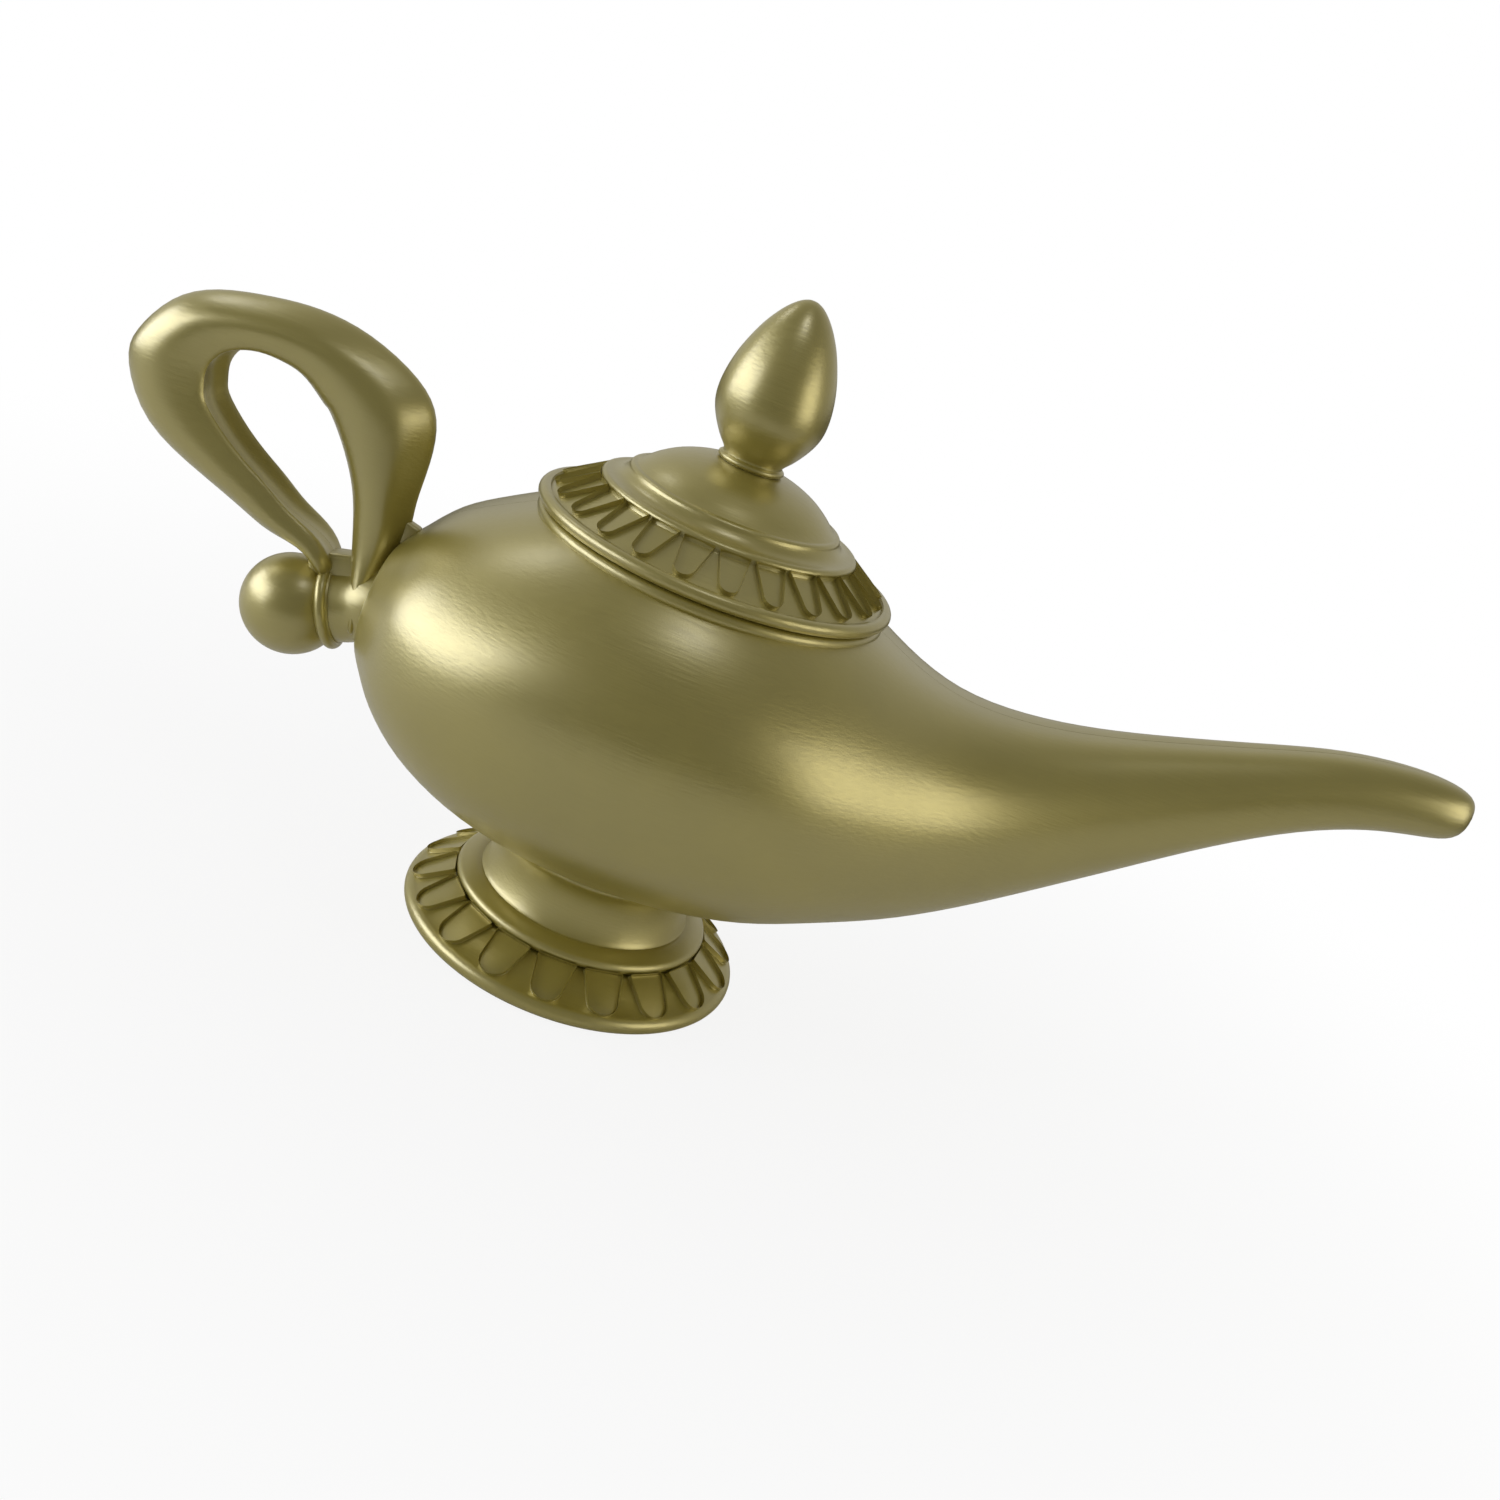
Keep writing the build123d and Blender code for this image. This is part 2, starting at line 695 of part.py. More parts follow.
def handle_half(side):
    """One moulded half of the loop with its stub and collar, cut to the bowl."""
    loop = loop_half(side, 0)
    core = loop_half(side, handle_wall)
    with BuildPart() as half:
        add(loop)
        add(core, mode=Mode.SUBTRACT)
        with BuildSketch(Plane.XZ):
            Polygon(*[(-handle_reach * x, handle_crown * z) for x, z in web_shares], align=None)
        extrude(amount=-side * web_half_depth)
        with BuildSketch(Plane.XZ):
            Polygon(*[(-handle_reach * x, handle_crown * z) for x, z in nub_shares], align=None)
        extrude(amount=-side * nub_half_depth)
        for start, end, radius in (
            (collar_offset, ball_distance - rear_reach + overrun, stub_radius),
            (collar_offset, collar_offset + collar_thickness, collar_radius),
        ):
            with BuildSketch(stub_plane(start)):
                Circle(radius)
                with Locations((-side * radius, 0)):
                    Rectangle(2 * radius, 2 * radius, mode=Mode.SUBTRACT)
            extrude(amount=end - start)
        # socket of the ball's spigot, and the handle screw's hole
        with BuildSketch(stub_plane(collar_offset)):
            Circle(spigot_radius + fit_gap)
        extrude(amount=spigot_length + fit_gap, mode=Mode.SUBTRACT)
        with BuildSketch(Plane.YZ.offset(-rear_reach + overrun)):
            with Locations((side * handle_screw_spacing / 2, stub_height(rear_reach))):
                Circle(handle_screw_radius + fit_gap)
        extrude(amount=-overrun - handle_screw_length, mode=Mode.SUBTRACT)
        # clear of the ball, then of the bowl
        with Locations((-ball_distance, 0, ball_height)):
            Sphere(ball_radius + fit_gap, mode=Mode.SUBTRACT)
        add(bowl_form, mode=Mode.SUBTRACT)
    return half


handle_left_half = handle_half(LEFT)
handle_left_half.part.label = "handle_left_half"
export_step(handle_left_half.part, "parts/handle_left_half.step")

handle_right_half = handle_half(RIGHT)
handle_right_half.part.label = "handle_right_half"
export_step(handle_right_half.part, "parts/handle_right_half.step")

# Ball with the spigot that the handle's halves close on
with BuildPart() as handle_ball:
    with Locations((-ball_distance, 0, ball_height)):
        Sphere(ball_radius)
    with BuildSketch(stub_plane(collar_offset)):
        Circle(2 * ball_radius)
    extrude(amount=ball_radius, mode=Mode.SUBTRACT)
    with BuildSketch(stub_plane(collar_offset - overrun)):
        Circle(spigot_radius)
    extrude(amount=overrun + spigot_length)
handle_ball.part.label = "handle_ball"
export_step(handle_ball.part, "parts/handle_ball.step")
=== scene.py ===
from math import atan2, cos, hypot, pi, radians, sin

import bmesh
import bpy
from mathutils import Matrix, Vector


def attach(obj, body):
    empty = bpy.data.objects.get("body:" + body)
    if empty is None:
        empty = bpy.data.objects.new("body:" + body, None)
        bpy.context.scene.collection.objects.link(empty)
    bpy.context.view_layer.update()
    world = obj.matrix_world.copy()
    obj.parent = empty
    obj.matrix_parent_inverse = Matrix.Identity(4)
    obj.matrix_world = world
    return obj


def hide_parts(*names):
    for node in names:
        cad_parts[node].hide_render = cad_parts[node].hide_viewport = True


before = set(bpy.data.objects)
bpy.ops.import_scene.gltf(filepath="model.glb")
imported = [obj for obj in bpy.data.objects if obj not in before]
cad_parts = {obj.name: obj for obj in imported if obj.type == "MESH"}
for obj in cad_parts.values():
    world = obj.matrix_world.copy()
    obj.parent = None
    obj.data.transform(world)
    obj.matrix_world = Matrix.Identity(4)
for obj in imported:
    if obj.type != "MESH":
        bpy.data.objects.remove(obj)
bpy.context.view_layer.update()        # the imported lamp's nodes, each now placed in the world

MM = 0.001               # tables below are in millimetres

# Sizes shared with the solids
FINIAL_BASE = 114.05
FOOT_TOP = 24.0
BALL = (-79.6, 0, 50.4)
BALL_RADIUS = 10.8
STUB_DROOP = radians(20.5)
MOUTH_RADIUS = 35.5


# Modelling helpers

def deselect_all():
    bpy.ops.object.select_all(action="DESELECT")


def pick(piece):
    """Select one piece and make it the active one."""
    deselect_all()
    piece.select_set(True)
    bpy.context.view_layer.objects.active = piece


def settle(piece):
    """Put a piece's place into its mesh."""
    pick(piece)
    bpy.ops.object.transform_apply(location=True, rotation=True, scale=True)


def start_ring(name, sides, radius, centre):
    """A ring of edges in the XY plane that the rest of a piece is drawn out of."""
    deselect_all()
    bpy.ops.mesh.primitive_circle_add(vertices=sides, radius=radius * MM, location=Vector(centre) * MM)
    piece = bpy.context.object
    piece.name = name
    settle(piece)
    bpy.ops.object.mode_set(mode="EDIT")
    bpy.ops.mesh.select_mode(type="VERT")
    bpy.ops.mesh.select_all(action="SELECT")
    return piece


def pick_points(piece, test):
    """In edit mode, select the points whose place in millimetres passes the test."""
    bpy.ops.mesh.select_all(action="DESELECT")
    bpy.ops.mesh.select_mode(type="VERT")
    mesh = bmesh.from_edit_mesh(piece.data)
    for point in mesh.verts:
        if test(point.co / MM):
            point.select_set(True)
    mesh.select_flush(True)
    bmesh.update_edit_mesh(piece.data)


def smooth(piece, degrees):
    """Shade a piece smooth, but for edges sharper than an angle."""
    pick(piece)
    bpy.ops.object.shade_smooth_by_angle(angle=radians(degrees))


def finish_shape(piece, smooth_angle=35):
    """Close what meets, turn the faces outward and leave edit mode."""
    bpy.ops.mesh.select_all(action="SELECT")
    bpy.ops.mesh.remove_doubles(threshold=0.01 * MM)
    bpy.ops.mesh.normals_make_consistent(inside=False)
    bpy.ops.object.mode_set(mode="OBJECT")
    smooth(piece, smooth_angle)
    return piece


def turn(name, profile, sides, closed_ends=True):
    """Draw a ring through the rows of a profile, radius and height, as on a lathe."""
    radius, height = profile[0]
    piece = start_ring(name, sides, radius, (0, 0, height))
    if closed_ends:
        bpy.ops.mesh.edge_face_add()
    for next_radius, next_height in profile[1:]:
        rise = (next_height - height) * MM
        bpy.ops.mesh.extrude_region_move(TRANSFORM_OT_translate={"value": (0, 0, rise)})
        share = next_radius / radius
        bpy.ops.transform.resize(value=(share, share, 1), center_override=(0, 0, 0))
        radius, height = next_radius, next_height
    return finish_shape(piece)


def arc(centre_radius, centre_height, size, start, end, steps):
    """Rows of a profile along an arc; angles in degrees, 0 outward and 90 up."""
    rows = []
    for step in range(steps + 1):
        angle = radians(start + (end - start) * step / steps)
        rows.append((centre_radius + size * cos(angle), centre_height + size * sin(angle)))
    return rows


def curve_through(points, steps):
    """Rows along a smooth curve through the given rows of a profile."""
    rows = []
    count = len(points)
    for number in range(count - 1):
        before = points[max(number - 1, 0)]
        start, end = points[number], points[number + 1]
        after = points[min(number + 2, count - 1)]
        for step in range(steps):
            t = step / steps
            row = []
            for axis in range(len(start)):
                a, b, c, d = before[axis], start[axis], end[axis], after[axis]
                row.append(0.5 * (
                    2 * b + (c - a) * t + (2 * a - 5 * b + 4 * c - d) * t ** 2
                    + (3 * b - a - 3 * c + d) * t ** 3
                ))
            rows.append(tuple(row))
    rows.append(tuple(points[-1]))
    return rows


def use_modifier(piece, kind, **settings):
    """Add one modifier, set it and apply it."""
    pick(piece)
    modifier = piece.modifiers.new(kind.lower(), kind)
    for key, value in settings.items():
        setattr(modifier, key, value)
    bpy.ops.object.modifier_apply(modifier=modifier.name)


def soften(piece, width):
    """Round a small piece's edges and shade it smooth."""
    use_modifier(piece, "BEVEL", width=width * MM, segments=3, limit_method="ANGLE")
    smooth(piece, 50)


def copy_piece(piece, name):
    """A copy with its own mesh."""
    twin = piece.copy()
    twin.data = piece.data.copy()
    twin.name = name
    bpy.context.collection.objects.link(twin)
    return twin


def join_into(piece, others):
    """Join further meshes into a piece."""
    deselect_all()
    for other in others:
        other.select_set(True)
    piece.select_set(True)
    bpy.context.view_layer.objects.active = piece
    bpy.ops.object.join()


def cut(piece, cutter, operation="DIFFERENCE"):
    """Cut a piece with a closed cutter, which is deleted afterwards."""
    use_modifier(piece, "BOOLEAN", operation=operation, solver="EXACT", object=cutter)
    bpy.data.objects.remove(cutter)


def dress(piece, body, nodes, finish):
    """Say what a piece rides on and stands for, and give it its finish."""
    piece.data.materials.clear()
    piece.data.materials.append(finish)
    for face in piece.data.polygons:
        face.material_index = 0
    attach(piece, body)
    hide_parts(*nodes)


# Bowl and spout

BOWL_ROWS = [            # distance along, top, floor, half width, shoulder
    (-62.5, 67.6, 50.0, 11.0, 1.02),
    (-61.6, 71.8, 47.6, 17.6, 1.04),
    (-58.1, 76.1, 43.4, 24.2, 1.05),
    (-53.1, 81.5, 38.5, 32.2, 1.06),
    (-44.4, 86.8, 32.0, 39.8, 1.07),
    (-31.9, 93.1, 26.1, 45.6, 1.08),
    (-16.3, 98.4, 22.4, 49.5, 1.09),
    (0.0, 100.0, 21.5, 51.0, 1.09),
    (16.0, 98.5, 22.2, 49.3, 1.09),
    (31.9, 93.9, 24.8, 44.5, 1.08),
    (46.0, 88.2, 29.3, 37.0, 1.07),
    (60.0, 84.8, 34.0, 28.1, 1.07),
    (74.9, 85.2, 41.8, 20.6, 1.09),
    (90.0, 88.4, 52.3, 15.6, 1.10),
    (105.0, 93.1, 63.6, 12.1, 1.11),
    (120.0, 98.3, 75.2, 9.9, 1.11),
    (135.1, 103.5, 85.2, 8.5, 1.10),
    (148.0, 106.4, 91.2, 7.5, 1.08),
    (158.1, 107.3, 94.0, 6.3, 1.06),
    (164.8, 106.6, 95.8, 4.6, 1.03),
    (168.0, 104.6, 98.3, 2.0, 1.00),
]
WIDEST_SHARE = 0.45      # height of the widest point between floor and top
SECTION_SIDES = 16
SHELL_WALL = 2.2
CAVITY_END = 150         # the spout is solid beyond this
FLAT_RADIUS = 30         # the bowl is cut flat over the foot within this radius
SEAM_HALF = 0.06


def drawn_in(rows):
    """Rows set out so that the smoothed surface passes through the given ones."""
    cage = [list(row) for row in rows]
    for _ in range(3):
        moved = []
        for number, row in enumerate(cage):
            before = cage[max(number - 1, 0)]
            after = cage[min(number + 1, len(cage) - 1)]
            smooth = [(a + 4 * b + c) / 6 for a, b, c in zip(before, row, after)]
            moved.append([b + (wanted - s) for b, wanted, s in zip(row, rows[number], smooth)])
        moved[0], moved[-1] = list(rows[0]), list(rows[-1])
        cage = moved
    return cage


def growth(sides):
    """How much larger a ring is drawn, because smoothing pulls it in."""
    return 6 / (4 + 2 * cos(2 * pi / sides))


def bowl_form(name, wanted):
    """Sixteen-sided rings from the flat rear to the spout's tip, smoothed into one closed form."""
    rows = drawn_in(wanted)
    grow = growth(SECTION_SIDES)
    form = start_ring(name, SECTION_SIDES, 1, (0, 0, 0))
    # stand the first ring up, square to the lamp's length
    bpy.ops.transform.rotate(value=pi / 2, orient_axis="Y", center_override=(0, 0, 0))
    bpy.ops.transform.translate(value=(rows[0][0] * MM, 0, 0))
    was = {"along": rows[0][0], "middle": 0.0, "up": 1.0, "down": 1.0, "width": 1.0, "shoulder": 1.0}

    def in_ring(point):
        return abs(point.x - was["along"]) < 0.001

    def shape_ring(row):
        """Bring the newest ring to the height, width and squareness of its row."""
        along, top, floor, width, shoulder = row
        middle = floor + (top - floor) * WIDEST_SHARE
        up, down, width = (top - middle) * grow, (middle - floor) * grow, width * grow
        pivot = (along * MM, 0, was["middle"] * MM)
        pick_points(form, lambda p: in_ring(p) and p.z > was["middle"] + 0.001)
        bpy.ops.transform.resize(value=(1, 1, up / was["up"]), center_override=pivot)
        pick_points(form, lambda p: in_ring(p) and p.z < was["middle"] - 0.001)
        bpy.ops.transform.resize(value=(1, 1, down / was["down"]), center_override=pivot)
        pick_points(form, in_ring)
        bpy.ops.transform.resize(value=(1, width / was["width"], 1), center_override=pivot)
        bpy.ops.transform.translate(value=(0, 0, (middle - was["middle"]) * MM))
        # the shoulder: the upper points away from the seam
        change = shoulder / was["shoulder"]
        pivot = (along * MM, 0, middle * MM)
        pick_points(form, lambda p: in_ring(p) and abs(p.y) > width * 0.2 and p.z > middle + up * 0.2)
        bpy.ops.transform.resize(value=(1, change, change), center_override=pivot)
        was.update(middle=middle, up=up, down=down, width=width, shoulder=shoulder)

    shape_ring(rows[0])
    pick_points(form, in_ring)
    bpy.ops.mesh.edge_face_add()
    for row in rows[1:]:
        pick_points(form, in_ring)
        step = (row[0] - was["along"]) * MM
        bpy.ops.mesh.extrude_edges_move(TRANSFORM_OT_translate={"value": (step, 0, 0)})
        was["along"] = row[0]
        shape_ring(row)
    pick_points(form, in_ring)
    bpy.ops.mesh.edge_face_add()
    finish_shape(form, 180)
    use_modifier(form, "SUBSURF", levels=2, render_levels=2)
    return form


def inside_rows():
    """The bowl's rows drawn in by the wall, short of the solid tip."""
    rows = []
    for along, top, floor, width, shoulder in BOWL_ROWS:
        if along < CAVITY_END:
            inner = max(along, BOWL_ROWS[0][0] + SHELL_WALL + (along - BOWL_ROWS[0][0]) * 0.9)
            rows.append((inner, top - SHELL_WALL, floor + SHELL_WALL, width - SHELL_WALL, shoulder))
    return rows


def cylinder_cutter(radius, low, high):
    """A plain round cutter about the lamp's axis."""
    deselect_all()
    bpy.ops.mesh.primitive_cylinder_add(
        vertices=128, radius=radius * MM, depth=(high - low) * MM,
        location=(0, 0, (high + low) / 2 * MM),
    )
    cutter = bpy.context.object
    settle(cutter)
    return cutter


def half_space(side, inset):
    """A block over one side of the seam."""
    deselect_all()
    depth = 200
    bpy.ops.mesh.primitive_cube_add(size=1, location=(0, side * (depth / 2 + inset) * MM, 0))
    block = bpy.context.object
    block.scale = (1, depth * MM, 1)
    settle(block)
    return block


def make_bowl(finish):
    """Both shells of the bowl and spout, hollow, with the mouth open and the seam between them."""
    bowl = bowl_form("bowl", BOWL_ROWS)
    cut(bowl, bowl_form("bowl_inside", inside_rows()))
    cut(bowl, cylinder_cutter(MOUTH_RADIUS, low=80, high=120))
    cut(bowl, cylinder_cutter(FLAT_RADIUS, low=0, high=FOOT_TOP))
    for side, name in ((1, "left"), (-1, "right")):
        half = copy_piece(bowl, "bowl_" + name)
        cut(half, half_space(side, SEAM_HALF), "INTERSECT")
        smooth(half, 40)
        dress(half, "lamp", ["body_%s_shell" % name], finish)
    bpy.data.objects.remove(bowl)


# Seat ring, lid and finial

def make_ring(finish):
    """The seat ring: a skirt inside the mouth and a bead on the shoulder."""
    profile = [(33.4, 85.2), (35.3, 85.2), (35.3, 91.3), (36.2, 91.3)]
    profile += arc(36.1, 92.75, 1.45, -80, 90, 12)
    profile += [(34.6, 94.2), (33.9, 94.1), (33.4, 93.6), (33.4, 85.2)]
    ring = turn("seat_ring", profile, 160, closed_ends=False)
    dress(ring, "lamp", ["mouth_ring"], finish)


BAND_LOW = (36.0, 96.7)
BAND_HIGH = (27.6, 102.0)
LID_TONGUES = 24
LID_TONGUE_REACH = 33.4  # radius where a tongue's round tip is centred


def lid_profile():
    inside = [(1.6, 111.85), (6.9, 111.85), (13.0, 108.6), (19.4, 104.2), (30.85, 96.8), (30.85, 88.95)]
    skirt = [(31.2, 88.7), (32.7, 88.7), (33.05, 89.0), (33.05, 94.45), (36.4, 94.5)]
    lip = arc(36.9, 95.85, 1.4, -80, 100, 12) + [(36.2, 97.2), (36.0, 96.9)]
    band = [BAND_LOW, (34.0, 97.96), (31.0, 99.85), (28.4, 101.5), BAND_HIGH]
    lower_step = [(27.5, 102.4)] + arc(26.6, 103.0, 0.95, -10, 95, 7)
    cove = curve_through([(26.4, 103.95), (25.2, 104.05), (24.0, 104.5), (23.2, 105.3), (22.8, 105.9)], 3)[1:]
    upper_step = arc(21.75, 106.1, 0.95, 0, 95, 7)
    dome = curve_through(
        [(21.4, 107.1), (20.3, 107.9), (18.2, 109.6), (15.3, 111.4), (11.6, 112.9), (7.6, 113.9)], 4,
    )
    return inside + skirt + lip + band + lower_step + cove + upper_step + dome + [(1.6, FINIAL_BASE)]


def tongue(name, root_width, tip_radius, length, relief, outline):
    """One raised tongue that lies along -X to its round tip at the origin's +X side."""
    deselect_all()
    bpy.ops.mesh.primitive_circle_add(vertices=20, radius=tip_radius * MM, fill_type="NGON")
    piece = bpy.context.object
    piece.name = name
    bpy.ops.object.mode_set(mode="EDIT")
    pick_points(piece, lambda p: p.x < -0.01 * tip_radius)
    share = root_width / (2 * tip_radius)
    bpy.ops.transform.resize(value=(0.02, 1, 1), center_override=(0, 0, 0))
    bpy.ops.transform.resize(value=(1, share, 1), center_override=(0, 0, 0))
    bpy.ops.transform.translate(value=(-length * MM, 0, 0))
    bpy.ops.mesh.select_all(action="SELECT")
    bpy.ops.mesh.dissolve_limited(angle_limit=radians(1))
    bpy.ops.mesh.select_all(action="SELECT")
    if outline > 0:
        bpy.ops.mesh.inset(thickness=outline * MM)
        bpy.ops.mesh.select_all(action="INVERT")
    bpy.ops.mesh.extrude_region_move(TRANSFORM_OT_translate={"value": (0, 0, relief * MM)})
    bpy.ops.mesh.select_all(action="SELECT")
    bpy.ops.mesh.normals_make_consistent(inside=False)
    bpy.ops.object.mode_set(mode="OBJECT")
    return piece


def place_around(master, count, tilt, radius, height, carrier):
    """Copies of a tongue round the axis, laid on a slope, joined into the piece that carries them."""
    copies = []
    for number in range(count):
        twin = copy_piece(master, "%s_%02d" % (master.name, number + 1))
        around = Matrix.Rotation(2 * pi * (number + 0.5) / count, 4, "Z")
        lean = Matrix.Translation((radius * MM, 0, height * MM)) @ Matrix.Rotation(tilt, 4, "Y")
        twin.matrix_world = around @ lean
        settle(twin)
        copies.append(twin)
    bpy.data.objects.remove(master)
    join_into(carrier, copies)


def on_slope(low, high, radius, sunk):
    """The tilt of a slope, and the height at a radius on it, sunk a little below its surface."""
    tilt = atan2(high[1] - low[1], low[0] - high[0])
    share = (low[0] - radius) / (low[0] - high[0])
    return tilt, low[1] + (high[1] - low[1]) * share - sunk


def make_lid(finish):
    """The lid with its lip, its band of outlined tongues, two steps and the dome."""
    profile = lid_profile()
    lid = turn("lid_cover", profile + [profile[0]], 192, closed_ends=False)
    mark = tongue("lid_tongue", 6.6, 2.1, 7.4, 1.15, 0.95)
    soften(mark, 0.4)
    tilt, height = on_slope(BAND_LOW, BAND_HIGH, LID_TONGUE_REACH, 0.2)
    place_around(mark, LID_TONGUES, tilt, LID_TONGUE_REACH, height, lid)
    dress(lid, "cover", ["lid"], finish)


def make_finial(finish):
    """The drop on its waist, with the bright bead at its base."""
    profile = [(1.6, FINIAL_BASE), (6.6, FINIAL_BASE)]
    profile += arc(6.4, FINIAL_BASE + 0.65, 0.62, -70, 80, 8)
    profile += curve_through([
        (6.3, 115.5), (6.5, 116.2), (8.2, 118.2), (10.1, 121.2), (11.25, 124.0), (11.6, 127.0),
        (11.3, 130.4), (10.5, 134.0), (9.3, 137.4), (7.7, 140.9), (5.9, 143.8), (4.2, 145.9),
        (2.5, 147.4), (1.1, 148.1), (0.3, 148.25),
    ], 4)
    finial = turn("finial_drop", profile, 96)
    dress(finial, "cover", ["finial"], finish)


# Foot

FOOT_TONGUES = 18
FOOT_TONGUE_REACH = 33.8
FLANGE_LOW = (36.0, 4.1)
FLANGE_HIGH = (29.4, 8.3)


def make_foot(finish):
    """Neck, bead and flange of the foot, with its raised tongues."""
    inside = [(0.5, 21.4), (20.2, 21.4), (20.2, 10.0), (27.0, 6.0), (33.4, 0.0), (36.2, 0.0)]
    rim = [(37.2, 0.3)] + arc(36.4, 2.05, 2.0, -60, 80, 10)
    flange = [FLANGE_LOW, (33.0, 6.1), FLANGE_HIGH]
    bead = [(28.4, 8.5), (27.5, 8.55), (27.4, 8.8)] + arc(27.45, 10.1, 1.45, -75, 70, 10)
    bead += [(26.9, 11.9), (25.6, 12.35), (24.5, 12.4)]
    neck = curve_through([
        (24.0, 12.3), (23.6, 12.9), (23.1, 14.6), (22.7, 16.8), (22.6, 18.8),
        (22.8, 21.0), (23.4, 23.0), (24.4, 24.6), (24.3, 25.4),
    ], 3)
    top = [(23.4, 25.6), (19.0, FOOT_TOP), (0.5, FOOT_TOP)]
    foot = turn("foot_stand", inside + rim + flange + bead + neck + top, 160)
    tilt, height = on_slope(FLANGE_LOW, FLANGE_HIGH, FOOT_TONGUE_REACH, 0.25)
    # a low pad, then the raised line round it
    for name, relief, outline in (("foot_pad", 0.55, 0), ("foot_line", 1.35, 1.0)):
        mark = tongue(name, 9.0, 3.5, 6.3, relief, outline)
        soften(mark, 0.42)
        place_around(mark, FOOT_TONGUES, tilt, FOOT_TONGUE_REACH, height, foot)
    dress(foot, "lamp", ["foot"], finish)


# Handle

LOOP_ROWS = [            # along, height, facing in degrees from +X, half width, half depth, hollow
    (-64.6, 50.0, 0, 1.5, 8.2, 0.0),
    (-65.0, 55.0, 0, 2.0, 8.3, 0.0),
    (-65.8, 60.5, 0, 3.0, 7.0, 0.0),
    (-66.2, 67.0, 0, 4.5, 5.6, 0.0),
    (-66.6, 74.5, 0, 6.0, 5.8, 0.0),
    (-68.0, 81.2, 0, 7.0, 6.4, 0.0),
    (-70.0, 89.0, 6, 9.3, 7.0, 0.2),
    (-72.7, 95.8, 16, 11.0, 7.5, 0.4),
    (-76.3, 99.3, 35, 10.2, 7.5, 0.5),
    (-84.0, 103.2, 54, 8.1, 7.6, 0.6),
    (-91.4, 104.4, 78, 6.6, 7.8, 1.0),
    (-98.5, 104.0, 100, 5.8, 8.0, 1.6),
    (-105.8, 102.0, 132, 6.7, 8.1, 2.6),
    (-110.9, 98.5, 155, 8.1, 8.2, 3.6),
    (-113.9, 93.1, 175, 9.4, 8.2, 4.2),
    (-113.7, 88.0, 185, 9.8, 8.2, 4.4),
    (-109.9, 81.7, 214, 8.4, 8.1, 4.4),
    (-100.3, 75.5, 230, 6.3, 7.6, 4.0),
    (-91.9, 71.3, 239, 5.3, 7.1, 3.4),
    (-85.4, 67.9, 241, 4.4, 6.8, 2.6),
    (-78.1, 65.2, 240, 3.3, 6.5, 1.2),
    (-73.4, 59.5, 222, 3.2, 6.5, 0.2),
]
LOOP_SIDES = 16
HANDLE_SEAM_HALF = 0.02
DEEPEST_HOLLOW = 4.4
OUTER_SLOPE = 0.32       # how far the outer side falls away where there is no hollow
RIDGE_SWELL = 0.12       # how far the ridges stand out beside the deepest hollow


def loop_rings():
    """The loop's rows set out so that the smoothed loop passes through them."""
    rows = []
    for along, height, facing, width, depth, hollow in LOOP_ROWS:
        facing = radians(facing)
        rows.append((along, height, width * cos(facing), width * sin(facing), depth, hollow))
    return [
        (along, height, atan2(up, out), hypot(out, up), depth, hollow)
        for along, height, out, up, depth, hollow in drawn_in(rows)
    ]


def take(loop, wanted):
    """In edit mode, select the points with the wanted numbers and no others."""
    mesh = bmesh.from_edit_mesh(loop.data)
    for point in mesh.verts:
        point.select_set(point.index in wanted)
    mesh.select_flush(True)
    bmesh.update_edit_mesh(loop.data)


def add_ring(loop, row):
    """One ring of the loop: a sloped outer side, and a hollow between two ridges on the inner side."""
    along, height, facing, width, depth, hollow = row
    centre = Vector((along, 0, height)) * MM
    grow = growth(LOOP_SIDES)
    bpy.ops.mesh.select_all(action="DESELECT")
    bpy.ops.mesh.primitive_circle_add(vertices=LOOP_SIDES, radius=MM, location=centre)
    bpy.ops.transform.resize(value=(width * grow, depth * grow, 1), center_override=centre)
    mesh = bmesh.from_edit_mesh(loop.data)
    places = {point.index: (point.co - centre) / MM for point in mesh.verts if point.select}
    inner = {n for n, p in places.items() if p.x < -0.5 * width and abs(p.y) < 0.5 * depth}
    ridges = {n for n, p in places.items() if p.x < -0.5 * width} - inner
    fall = 1 - OUTER_SLOPE * max(0, 1 - hollow / DEEPEST_HOLLOW)
    for start in (0.5, 0.8):
        take(loop, {n for n, p in places.items() if p.x > start * width * grow})
        bpy.ops.transform.resize(value=(1, fall, 1), center_override=centre)
    take(loop, inner)
    bpy.ops.transform.translate(value=(hollow * MM, 0, 0))
    take(loop, ridges)
    bpy.ops.transform.translate(value=(-min(hollow / 2, width / 4) * MM, 0, 0))
    swell = 1 + RIDGE_SWELL * hollow / DEEPEST_HOLLOW
    bpy.ops.transform.resize(value=(1, swell, 1), center_override=centre)
    take(loop, set(places))
    bpy.ops.transform.rotate(value=facing, orient_axis="Y", center_override=centre)
    return set(places)


def loop_cage():
    """Rings round the loop, each turned across its path, bridged one to the next."""
    loop = start_ring("handle_loop", LOOP_SIDES, 1, (0, 0, 0))
    # an empty mesh to draw the rings in
    bpy.ops.mesh.delete(type="VERT")
    rings = [add_ring(loop, row) for row in loop_rings()]
    for first, second in zip(rings, rings[1:]):
        take(loop, set())
        bpy.ops.mesh.select_mode(type="EDGE")
        mesh = bmesh.from_edit_mesh(loop.data)
        for edge in mesh.edges:
            ends = {edge.verts[0].index, edge.verts[1].index}
            edge.select_set(ends <= first or ends <= second)
        bmesh.update_edit_mesh(loop.data)
        bpy.ops.mesh.bridge_edge_loops()
        bpy.ops.mesh.select_mode(type="VERT")
    for ring in (rings[0], rings[-1]):
        take(loop, ring)
        bpy.ops.mesh.edge_face_add()
    return finish_shape(loop, 180)


